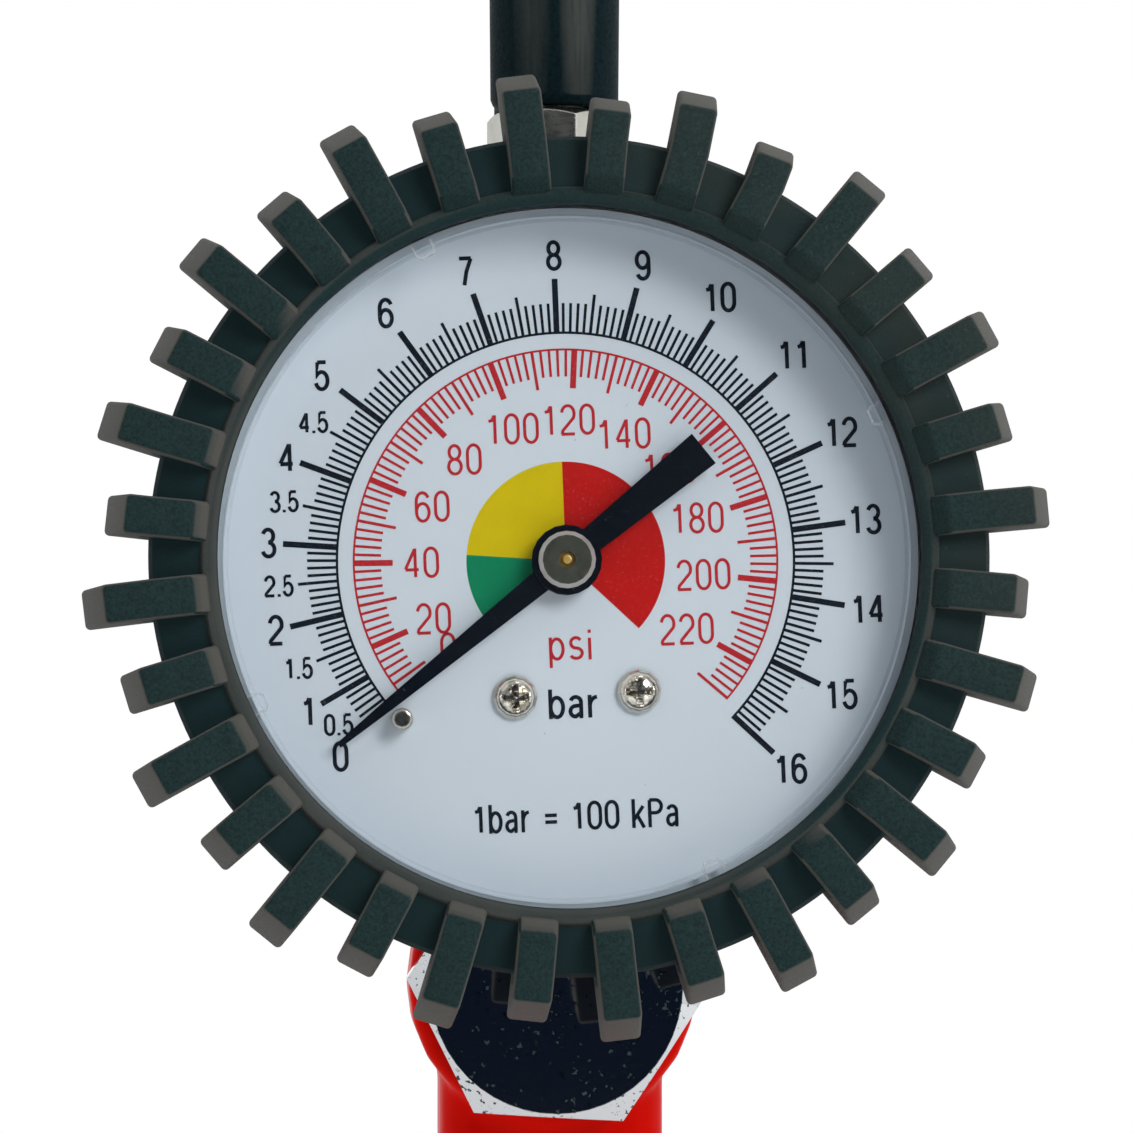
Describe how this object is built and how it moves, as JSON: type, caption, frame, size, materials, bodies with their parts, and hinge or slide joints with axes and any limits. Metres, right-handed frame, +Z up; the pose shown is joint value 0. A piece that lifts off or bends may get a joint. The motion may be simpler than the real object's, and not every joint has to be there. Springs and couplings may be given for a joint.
{
  "type": "tyre inflator with gauge",
  "caption": "Hand-held tyre inflator: dial pressure gauge in a finned rubber boot on a red handle with a squeeze trigger, and a hose to a clip-on valve chuck.",
  "frame": {"origin": "middle of the gauge lens's flat outer face, on the pointer's axis", "axes": "the dial faces -Y, +X is to its reader's right, +Z runs up the handle towards the hose"},
  "size_m": [0.0826, 0.1673, 0.34],
  "materials": {
    "boot_rubber": "moulded, finely textured, slightly dusty",
    "hose_rubber": "extruded, satin",
    "clear_plastic": "clear, polished",
    "dial_paint": "matt white with printed scales",
    "black_paint": "satin black",
    "black_case": "black enamel",
    "nickel": "nickel plated",
    "chrome": "polished chrome",
    "brass": "machined",
    "bronze": "drawn, dull",
    "spring_steel": "zinc plated",
    "red_paint": "die-cast aluminium with red enamel",
    "red_fibre": "vulcanised fibre",
    "seal_rubber": "nitrile"
  },
  "bodies": {
    "root": {"bourdon_tube": "bronze", "cap_nut": "chrome", "cap_nut_washer": "red_fibre", "case_screw_left": "nickel", "case_screw_right": "nickel", "chuck_body": "chrome", "chuck_fitting": "chrome", "chuck_lever_pin": "nickel", "chuck_lever_spring": "spring_steel", "chuck_seal": "seal_rubber", "dial_plate": "dial_paint", "dial_screw_left": "nickel", "dial_screw_right": "nickel", "gauge_boot": "boot_rubber", "gauge_case": "black_case", "gauge_lens": "clear_plastic", "gauge_socket": "brass", "gauge_washer": "red_fibre", "hairspring": "bronze", "hose": "hose_rubber", "hose_fitting": "chrome", "inflator_body": "red_paint", "inlet_filter": "bronze", "inlet_plug": "nickel", "inlet_washer": "red_fibre", "movement_back_plate": "brass", "movement_front_plate": "brass", "movement_pillar_left": "brass", "movement_pillar_right": "brass", "stem_guide": "brass", "stem_seal": "seal_rubber", "stop_pin": "nickel", "trigger_pin": "nickel", "valve_depressor": "brass", "valve_spring": "spring_steel"},
    "pointer": {"pointer": "black_paint", "pointer_bush": "bronze", "pointer_spindle": "brass"},
    "sector": {"sector_gear": "brass", "sector_arbor": "spring_steel"},
    "link": {"drive_link": "brass"},
    "tube_tip": {"tube_end": "brass"},
    "trigger": {"trigger": "spring_steel"},
    "valve": {"valve_stem": "brass", "valve_seal": "seal_rubber"},
    "clip": {"chuck_lever": "chrome"}
  },
  "joints": [
    {"name": "pointer_turn", "type": "hinge", "parent": "root", "child": "pointer", "pos_m": [0, 0, 0], "axis": [0, 1, 0], "range_deg": [0, 261.9], "stiffness_Nm_per_rad": 0.0001, "springref_deg": -57.3, "deforming": ["hairspring"]},
    {"name": "sector_turn", "type": "hinge", "parent": "root", "child": "sector", "pos_m": [0.00048, 0, -0.01199], "axis": [0, 1, 0], "range_deg": [-37.5, 0]},
    {"name": "link_turn", "type": "hinge", "parent": "sector", "child": "link", "pos_m": [-0.0008, 0, -0.01631], "axis": [0, 1, 0], "range_deg": [0, 37.5]},
    {"name": "tube_tip_swing", "type": "hinge", "parent": "root", "child": "tube_tip", "pos_m": [0.01566, 0, -0.00363], "axis": [0, 1, 0], "range_deg": [-13.98, 0], "deforming": ["bourdon_tube"]},
    {"name": "trigger_squeeze", "type": "hinge", "parent": "root", "child": "trigger", "pos_m": [0, 0.0595, -0.014], "axis": [-1, 0, 0], "range_deg": [0, 8]},
    {"name": "valve_slide", "type": "slide", "parent": "root", "child": "valve", "axis": [0, -1, 0], "range_m": [0, 0.0033], "stiffness_N_per_m": 1500, "springref_m": -0.002, "deforming": ["valve_spring"]},
    {"name": "chuck_lever_lift", "type": "hinge", "parent": "root", "child": "clip", "pos_m": [0.0039, 0.1535, -0.048], "axis": [1, 0, 0], "range_deg": [0, 12], "stiffness_Nm_per_rad": 0.1, "springref_deg": -22.92, "deforming": ["chuck_lever_spring"]}
  ],
  "couplings": [
    {"joint": "sector_turn", "follows": "pointer_turn", "ratio": -0.14286},
    {"joint": "link_turn", "follows": "pointer_turn", "ratio": 0.14286},
    {"joint": "tube_tip_swing", "follows": "pointer_turn", "ratio": -0.053006},
    {"joint": "valve_slide", "follows": "trigger_squeeze", "m_per_rad": 0.023}
  ]
}
